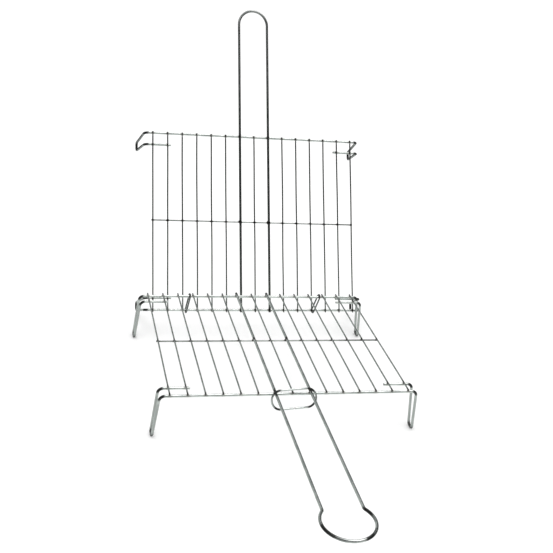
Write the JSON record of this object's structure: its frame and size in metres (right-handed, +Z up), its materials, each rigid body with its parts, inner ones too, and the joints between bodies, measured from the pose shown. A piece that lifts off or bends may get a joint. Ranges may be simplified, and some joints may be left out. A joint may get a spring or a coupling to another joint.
{
  "type": "double grill grate",
  "caption": "Hinged double wire grate on splayed wire legs for grilling food over embers, with two long wire handles and a sliding ring that clasps them shut.",
  "frame": {"origin": "on the table, midway between the four feet of the lower grate", "axes": "+Y from the long lower handle towards the hinge, +Z up, +X to the right seen from the handle"},
  "size_m": [0.4042, 0.885, 0.4958],
  "materials": {
    "lower_handle_wire": "bright zinc plating, slightly dulled",
    "lower_front_leg_bar": "bright zinc plating, slightly dulled",
    "lower_rear_leg_bar": "bright zinc plating, slightly dulled",
    "lower_mid_wire": "bright zinc plating, slightly dulled",
    "lower_grill_wire_1": "bright zinc plating, slightly dulled",
    "lower_grill_wire_2": "bright zinc plating, slightly dulled",
    "lower_grill_wire_3": "bright zinc plating, slightly dulled",
    "lower_grill_wire_4": "bright zinc plating, slightly dulled",
    "lower_grill_wire_5": "bright zinc plating, slightly dulled",
    "lower_grill_wire_6": "bright zinc plating, slightly dulled",
    "lower_grill_wire_7": "bright zinc plating, slightly dulled",
    "lower_grill_wire_8": "bright zinc plating, slightly dulled",
    "lower_grill_wire_9": "bright zinc plating, slightly dulled",
    "lower_grill_wire_10": "bright zinc plating, slightly dulled",
    "lower_grill_wire_11": "bright zinc plating, slightly dulled",
    "lower_grill_wire_12": "bright zinc plating, slightly dulled",
    "lower_grill_wire_13": "bright zinc plating, slightly dulled",
    "upper_handle_wire": "bright zinc plating, slightly dulled",
    "upper_top_leg_bar": "bright zinc plating, slightly dulled",
    "upper_hinge_leg_bar": "bright zinc plating, slightly dulled",
    "upper_mid_wire": "bright zinc plating, slightly dulled",
    "upper_grill_wire_1": "bright zinc plating, slightly dulled",
    "upper_grill_wire_2": "bright zinc plating, slightly dulled",
    "upper_grill_wire_3": "bright zinc plating, slightly dulled",
    "upper_grill_wire_4": "bright zinc plating, slightly dulled",
    "upper_grill_wire_5": "bright zinc plating, slightly dulled",
    "upper_grill_wire_6": "bright zinc plating, slightly dulled",
    "upper_grill_wire_7": "bright zinc plating, slightly dulled",
    "upper_grill_wire_8": "bright zinc plating, slightly dulled",
    "upper_grill_wire_9": "bright zinc plating, slightly dulled",
    "upper_grill_wire_10": "bright zinc plating, slightly dulled",
    "upper_grill_wire_11": "bright zinc plating, slightly dulled",
    "upper_grill_wire_12": "bright zinc plating, slightly dulled",
    "upper_grill_wire_13": "bright zinc plating, slightly dulled",
    "left_hinge_link": "bright zinc plating, slightly dulled",
    "right_hinge_link": "bright zinc plating, slightly dulled",
    "locking_ring": "bright zinc plating, slightly dulled"
  },
  "bodies": {
    "lower_grate": {"lower_handle_wire": "lower_handle_wire", "lower_front_leg_bar": "lower_front_leg_bar", "lower_rear_leg_bar": "lower_rear_leg_bar", "lower_mid_wire": "lower_mid_wire", "lower_grill_wire_1": "lower_grill_wire_1", "lower_grill_wire_2": "lower_grill_wire_2", "lower_grill_wire_3": "lower_grill_wire_3", "lower_grill_wire_4": "lower_grill_wire_4", "lower_grill_wire_5": "lower_grill_wire_5", "lower_grill_wire_6": "lower_grill_wire_6", "lower_grill_wire_7": "lower_grill_wire_7", "lower_grill_wire_8": "lower_grill_wire_8", "lower_grill_wire_9": "lower_grill_wire_9", "lower_grill_wire_10": "lower_grill_wire_10", "lower_grill_wire_11": "lower_grill_wire_11", "lower_grill_wire_12": "lower_grill_wire_12", "lower_grill_wire_13": "lower_grill_wire_13"},
    "left_link": {"left_hinge_link": "left_hinge_link"},
    "right_link": {"right_hinge_link": "right_hinge_link"},
    "upper_grate": {"upper_handle_wire": "upper_handle_wire", "upper_top_leg_bar": "upper_top_leg_bar", "upper_hinge_leg_bar": "upper_hinge_leg_bar", "upper_mid_wire": "upper_mid_wire", "upper_grill_wire_1": "upper_grill_wire_1", "upper_grill_wire_2": "upper_grill_wire_2", "upper_grill_wire_3": "upper_grill_wire_3", "upper_grill_wire_4": "upper_grill_wire_4", "upper_grill_wire_5": "upper_grill_wire_5", "upper_grill_wire_6": "upper_grill_wire_6", "upper_grill_wire_7": "upper_grill_wire_7", "upper_grill_wire_8": "upper_grill_wire_8", "upper_grill_wire_9": "upper_grill_wire_9", "upper_grill_wire_10": "upper_grill_wire_10", "upper_grill_wire_11": "upper_grill_wire_11", "upper_grill_wire_12": "upper_grill_wire_12", "upper_grill_wire_13": "upper_grill_wire_13"},
    "locking_ring": {"locking_ring": "locking_ring"}
  },
  "joints": [
    {"name": "link_swing", "type": "hinge", "parent": "lower_grate", "child": "left_link", "pos_m": [0, 0.15, 0.07012], "axis": [1, 0, 0], "range_deg": [0, 120]},
    {"name": "side_play", "type": "slide", "parent": "left_link", "child": "right_link", "axis": [-1, 0, 0], "range_m": [0, 0.01]},
    {"name": "upper_fold", "type": "hinge", "parent": "right_link", "child": "upper_grate", "pos_m": [0.01, 0.15331, 0.04262], "axis": [-1, 0, 0], "range_deg": [0, 10.8]},
    {"name": "ring_slide", "type": "slide", "parent": "lower_grate", "child": "locking_ring", "axis": [0, -1, 0], "range_m": [0, 0.24]}
  ]
}
